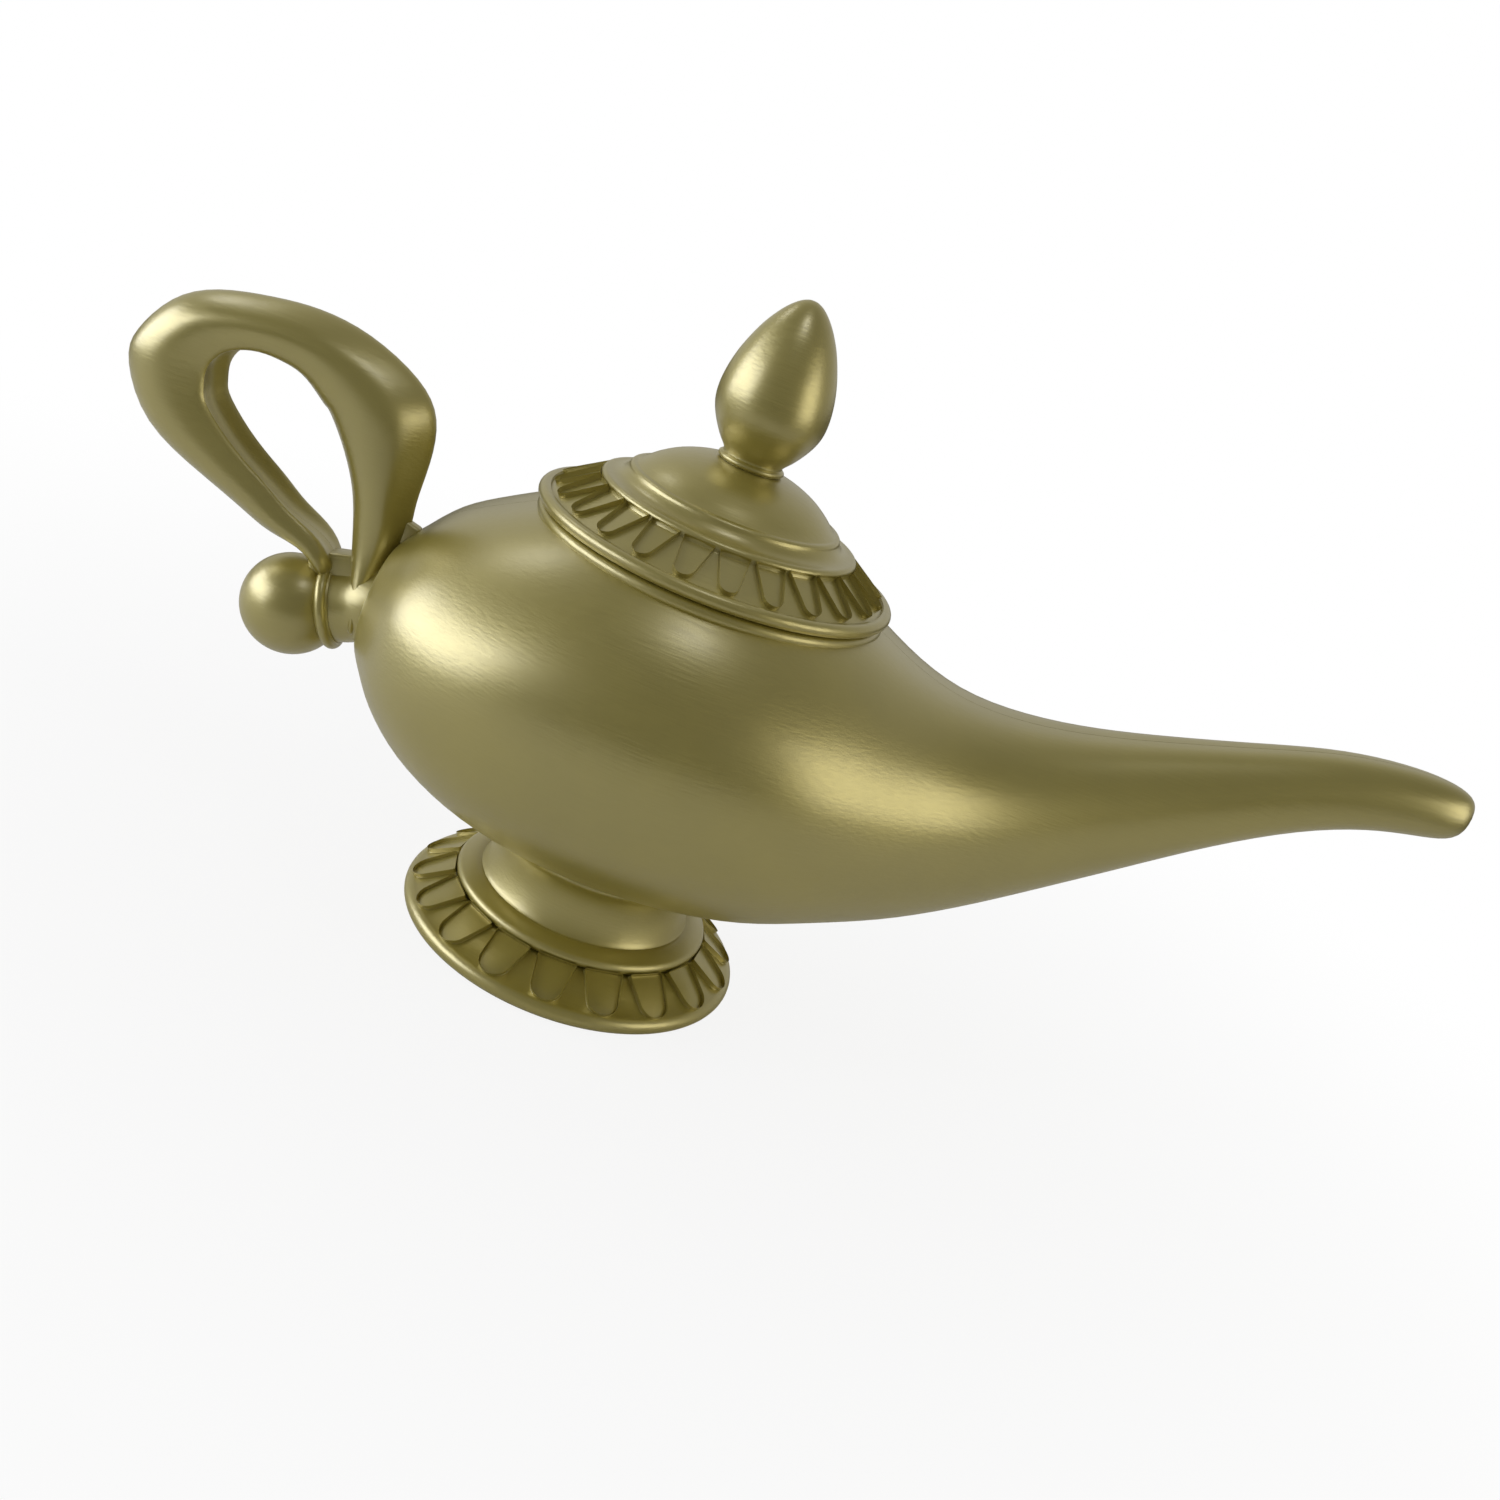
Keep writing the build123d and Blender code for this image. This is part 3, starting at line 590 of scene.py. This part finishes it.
def along_stub(piece):
    """Lay a piece turned about Z onto the stub's axis, its base at the ball's centre."""
    piece.rotation_euler = (0, pi / 2 - STUB_DROOP, 0)
    piece.location = Vector(BALL) * MM
    settle(piece)


def web(name, centre, size, lean, softness):
    """A small softened block in the handle's plane, leaning forward or back."""
    deselect_all()
    bpy.ops.mesh.primitive_cube_add(size=1, location=Vector(centre) * MM)
    block = bpy.context.object
    block.name = name
    block.scale = Vector(size) * MM
    block.rotation_euler = (0, radians(lean), 0)
    settle(block)
    use_modifier(block, "BEVEL", width=softness * MM, segments=3, limit_method="ANGLE")
    return block


def make_handle(finish):
    """Loop, stub, collar and webs in two halves, and the ball that they close on."""
    loop = loop_cage()
    use_modifier(loop, "SUBSURF", levels=2, render_levels=2)
    stub_rows = [
        (0.5, 7.4), (7.9, 7.4), (7.9, 12.0), (7.8, 13.5), (8.3, 15.5), (9.0, 17.0), (9.0, 21.0), (0.5, 21.0),
    ]
    stub = turn("stub", stub_rows, 64)
    along_stub(stub)
    fork_web = web("fork_web", (-71.0, 0, 60.7), (14.0, 6.4, 10.0), -14, 1.2)
    bowl_web = web("bowl_web", (-61.4, 0, 74.4), (5.4, 3.2, 5.2), 14, 0.8)
    collar_rows = [(6.0, 7.3), (8.2, 7.3)] + arc(8.2, 8.7, 1.2, -80, 80, 8)
    collar_rows += [(8.2, 10.2), (6.0, 10.2), (6.0, 7.3)]
    collar = turn("collar", collar_rows, 64, closed_ends=False)
    along_stub(collar)
    for side, name in ((1, "left"), (-1, "right")):
        half = copy_piece(loop, "handle_" + name)
        cut(half, half_space(side, HANDLE_SEAM_HALF), "INTERSECT")
        for other in (stub, collar, fork_web, bowl_web):
            other_half = copy_piece(other, "part")
            cut(other_half, half_space(side, HANDLE_SEAM_HALF), "INTERSECT")
            join_into(half, [other_half])
        smooth(half, 40)
        dress(half, "lamp", ["handle_%s_half" % name], finish)
    for other in (loop, stub, collar, fork_web, bowl_web):
        bpy.data.objects.remove(other)
    ball_rows = [(0.4, -BALL_RADIUS)] + arc(0, 0, BALL_RADIUS, -87, 50, 36)
    ball_rows += [(3.2, 8.4), (3.2, 11.4), (0.4, 11.4)]
    ball = turn("ball", ball_rows, 96)
    along_stub(ball)
    dress(ball, "lamp", ["handle_ball"], finish)


# Finishes

OLIVE_GOLD = (0.45, 0.378, 0.058)
PALER_GOLD = (0.45, 0.378, 0.062)


def link(tree, start, end):
    tree.links.new(start, end)


def start_material(name):
    """A new material, its node tree and its main shader."""
    material = bpy.data.materials.new(name)
    material.use_nodes = True
    return material, material.node_tree, material.node_tree.nodes["Principled BSDF"]


def satin_gold(name, tint, scratch_turn):
    """Gold paint over plastic: soft flake colour, fine brushed scratches and a thin clear coat."""
    material, tree, shader = start_material(name)
    nodes = tree.nodes
    shader.inputs["Metallic"].default_value = 0.55
    shader.inputs["IOR"].default_value = 2
    shader.inputs["Specular IOR Level"].default_value = 0.9
    shader.inputs["Coat Weight"].default_value = 1
    shader.inputs["Coat IOR"].default_value = 1.65
    shader.inputs["Coat Roughness"].default_value = 0.3
    place = nodes.new("ShaderNodeTexCoord")
    # slow drift of the paint's tone
    cloud = nodes.new("ShaderNodeTexNoise")
    cloud.inputs["Scale"].default_value = 45
    cloud.inputs["Detail"].default_value = 3
    link(tree, place.outputs["Object"], cloud.inputs["Vector"])
    tone = nodes.new("ShaderNodeValToRGB")
    tone.color_ramp.elements[0].position = 0.3
    tone.color_ramp.elements[0].color = [c * 0.9 for c in tint] + [1]
    tone.color_ramp.elements[1].position = 0.7
    tone.color_ramp.elements[1].color = list(tint) + [1]
    link(tree, cloud.outputs["Fac"], tone.inputs["Fac"])
    link(tree, tone.outputs["Color"], shader.inputs["Base Color"])
    # brushed scratches, long one way
    spread = nodes.new("ShaderNodeMapping")
    spread.inputs["Rotation"].default_value = (0, scratch_turn, 0)
    spread.inputs["Scale"].default_value = (120, 900, 1800)
    link(tree, place.outputs["Object"], spread.inputs["Vector"])
    scratch = nodes.new("ShaderNodeTexNoise")
    scratch.inputs["Scale"].default_value = 1
    scratch.inputs["Detail"].default_value = 4
    link(tree, spread.outputs["Vector"], scratch.inputs["Vector"])
    gloss = nodes.new("ShaderNodeMapRange")
    gloss.inputs["To Min"].default_value = 0.3
    gloss.inputs["To Max"].default_value = 0.46
    link(tree, scratch.outputs["Fac"], gloss.inputs["Value"])
    link(tree, gloss.outputs["Result"], shader.inputs["Roughness"])
    grain = nodes.new("ShaderNodeBump")
    grain.inputs["Strength"].default_value = 0.2
    grain.inputs["Distance"].default_value = 0.0003
    link(tree, scratch.outputs["Fac"], grain.inputs["Height"])
    link(tree, grain.outputs["Normal"], shader.inputs["Normal"])
    return material


def zinc_steel():
    """Plated screw steel with a faint mottle."""
    material, tree, shader = start_material("zinc_steel")
    nodes = tree.nodes
    shader.inputs["Metallic"].default_value = 1
    place = nodes.new("ShaderNodeTexCoord")
    mottle = nodes.new("ShaderNodeTexNoise")
    mottle.inputs["Scale"].default_value = 900
    link(tree, place.outputs["Object"], mottle.inputs["Vector"])
    tone = nodes.new("ShaderNodeValToRGB")
    tone.color_ramp.elements[0].color = (0.42, 0.42, 0.4, 1)
    tone.color_ramp.elements[1].color = (0.66, 0.66, 0.63, 1)
    link(tree, mottle.outputs["Fac"], tone.inputs["Fac"])
    link(tree, tone.outputs["Color"], shader.inputs["Base Color"])
    shader.inputs["Roughness"].default_value = 0.35
    return material


def give_screws(finish):
    """The screws keep their solids and get their metal."""
    for name in ("foot_screws", "finial_screw", "handle_screws"):
        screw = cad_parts[name]
        screw.data.materials.clear()
        screw.data.materials.append(finish)


# Studio: the lights are in metres, the camera in millimetres

ROOM_LIGHT = 0.18
BACKDROP_LIGHT = 0.5
COOL = (0.96, 0.98, 1.12)
WARM = (1, 0.95, 0.78)
CAMERA_PLACE = (0, -306.552, 174.262)
CAMERA_TURN = (4.132, -20.864, 22.787)   # yaw, pitch and roll in degrees
CAMERA_LENS = 36.727


def ease(tree, source, start, end):
    """A value that eases from one level to another; start and end are each (input, level)."""
    node = tree.nodes.new("ShaderNodeMapRange")
    node.interpolation_type = "SMOOTHSTEP"
    node.inputs["From Min"].default_value, node.inputs["To Min"].default_value = start
    node.inputs["From Max"].default_value, node.inputs["To Max"].default_value = end
    link(tree, source, node.inputs["Value"])
    return node.outputs["Result"]


def make_floor():
    """Pale table that takes a soft shadow near the lamp and shows plain white further out; for light, its
    colour darkens further out, painted shade that the lamp reflects in place of a dim room.
    """
    deselect_all()
    bpy.ops.mesh.primitive_plane_add(size=6)
    floor = bpy.context.object
    floor.name = "floor"
    settle(floor)
    material, tree, shader = start_material("floor_white")
    nodes = tree.nodes
    shader.inputs["Roughness"].default_value = 1
    white = nodes.new("ShaderNodeEmission")
    place = nodes.new("ShaderNodeTexCoord")
    distance = nodes.new("ShaderNodeVectorMath")
    distance.operation = "LENGTH"
    link(tree, place.outputs["Object"], distance.inputs[0])
    whiteness = ease(tree, distance.outputs["Value"], (0.05, 0.88), (0.35, 1))
    # painted shade: the table's colour falls from pale to dark further out, so the lamp reflects, and takes
    # its bounce from, a dark surround
    pale_table_and_painted_dark = ease(tree, distance.outputs["Value"], (0.24, 0.9), (0.55, 0.12))
    link(tree, pale_table_and_painted_dark, shader.inputs["Base Color"])
    path = nodes.new("ShaderNodeLightPath")
    seen = nodes.new("ShaderNodeMath")
    seen.operation = "MULTIPLY"
    link(tree, whiteness, seen.inputs[0])
    link(tree, path.outputs["Is Camera Ray"], seen.inputs[1])
    mix = nodes.new("ShaderNodeMixShader")
    link(tree, seen.outputs["Value"], mix.inputs["Fac"])
    link(tree, shader.outputs["BSDF"], mix.inputs[1])
    link(tree, white.outputs["Emission"], mix.inputs[2])
    link(tree, mix.outputs["Shader"], nodes["Material Output"].inputs["Surface"])
    floor.data.materials.append(material)


def make_world():
    """White where the camera looks; for light, a dim room in front and a pale backdrop behind."""
    world = bpy.data.worlds.new("studio")
    bpy.context.scene.world = world
    world.use_nodes = True
    tree = world.node_tree
    nodes = tree.nodes
    nodes.clear()
    out = nodes.new("ShaderNodeOutputWorld")
    seen = nodes.new("ShaderNodeBackground")
    seen.inputs["Color"].default_value = (1, 1, 1, 1)
    lit = nodes.new("ShaderNodeBackground")
    lit.inputs["Color"].default_value = (1, 0.975, 0.88, 1)
    place = nodes.new("ShaderNodeTexCoord")
    split = nodes.new("ShaderNodeSeparateXYZ")
    link(tree, place.outputs["Generated"], split.inputs["Vector"])
    level = ease(tree, split.outputs["Y"], (-0.3, ROOM_LIGHT), (1, BACKDROP_LIGHT))
    link(tree, level, lit.inputs["Strength"])
    path = nodes.new("ShaderNodeLightPath")
    mix = nodes.new("ShaderNodeMixShader")
    link(tree, path.outputs["Is Camera Ray"], mix.inputs["Fac"])
    link(tree, lit.outputs["Background"], mix.inputs[1])
    link(tree, seen.outputs["Background"], mix.inputs[2])
    link(tree, mix.outputs["Shader"], out.inputs["Surface"])


def softbox(name, place, aim, size, power, colour):
    """A flat rectangular light that faces its aim, its power in watts."""
    light = bpy.data.lights.new(name, "AREA")
    light.color = colour
    light.shape = "RECTANGLE"
    light.size, light.size_y = size
    light.energy = power
    holder = bpy.data.objects.new(name, light)
    bpy.context.collection.objects.link(holder)
    holder.location = place
    holder.rotation_euler = (Vector(aim) - Vector(place)).to_track_quat("-Z", "Y").to_euler()


def make_camera():
    """The photograph's viewpoint: near, a little above, and rolled."""
    yaw, pitch, roll = [radians(angle) for angle in CAMERA_TURN]
    ahead = Vector((sin(yaw) * cos(pitch), cos(yaw) * cos(pitch), sin(pitch)))
    right = Vector((cos(yaw), -sin(yaw), 0))
    up = right.cross(ahead)
    across = right * cos(roll) + up * sin(roll)
    over = up * cos(roll) - right * sin(roll)
    data = bpy.data.cameras.new("photo_view")
    data.sensor_fit = "HORIZONTAL"
    data.sensor_width = 36
    data.lens = CAMERA_LENS
    data.clip_start = 0.01
    camera = bpy.data.objects.new("photo_view", data)
    bpy.context.collection.objects.link(camera)
    turn_matrix = Matrix((across, over, -ahead)).transposed().to_4x4()
    camera.matrix_world = Matrix.Translation(Vector(CAMERA_PLACE) * MM) @ turn_matrix
    bpy.context.scene.camera = camera


body_gold = satin_gold("gold_body_paint", OLIVE_GOLD, radians(-25))
trim_gold = satin_gold("gold_trim_paint", OLIVE_GOLD, radians(10))
lid_gold = satin_gold("gold_lid_paint", PALER_GOLD, radians(40))
handle_gold = satin_gold("gold_handle_paint", OLIVE_GOLD, radians(70))
steel = zinc_steel()

make_bowl(body_gold)
make_ring(trim_gold)
make_lid(lid_gold)
make_finial(lid_gold)
make_foot(trim_gold)
make_handle(handle_gold)
give_screws(steel)

make_floor()
make_world()
softbox("left_softbox", (-1.04, -0.22, 0.22), (0, 0, 0.07), (1.15, 0.7), 8.8, COOL)
softbox("right_softbox", (1.0, -0.36, 0.26), (0, 0, 0.07), (0.62, 0.8), 3.1, WARM)
softbox("top_softbox", (0.016, -0.11, 0.4), (0, -0.03, 0.09), (0.06, 0.06), 0.06, COOL)
softbox("high_softbox", (-0.51, 0.27, 0.62), (-0.02, -0.02, 0.08), (0.15, 0.15), 0.2, COOL)
make_camera()
bpy.context.scene.view_settings.view_transform = "Standard"
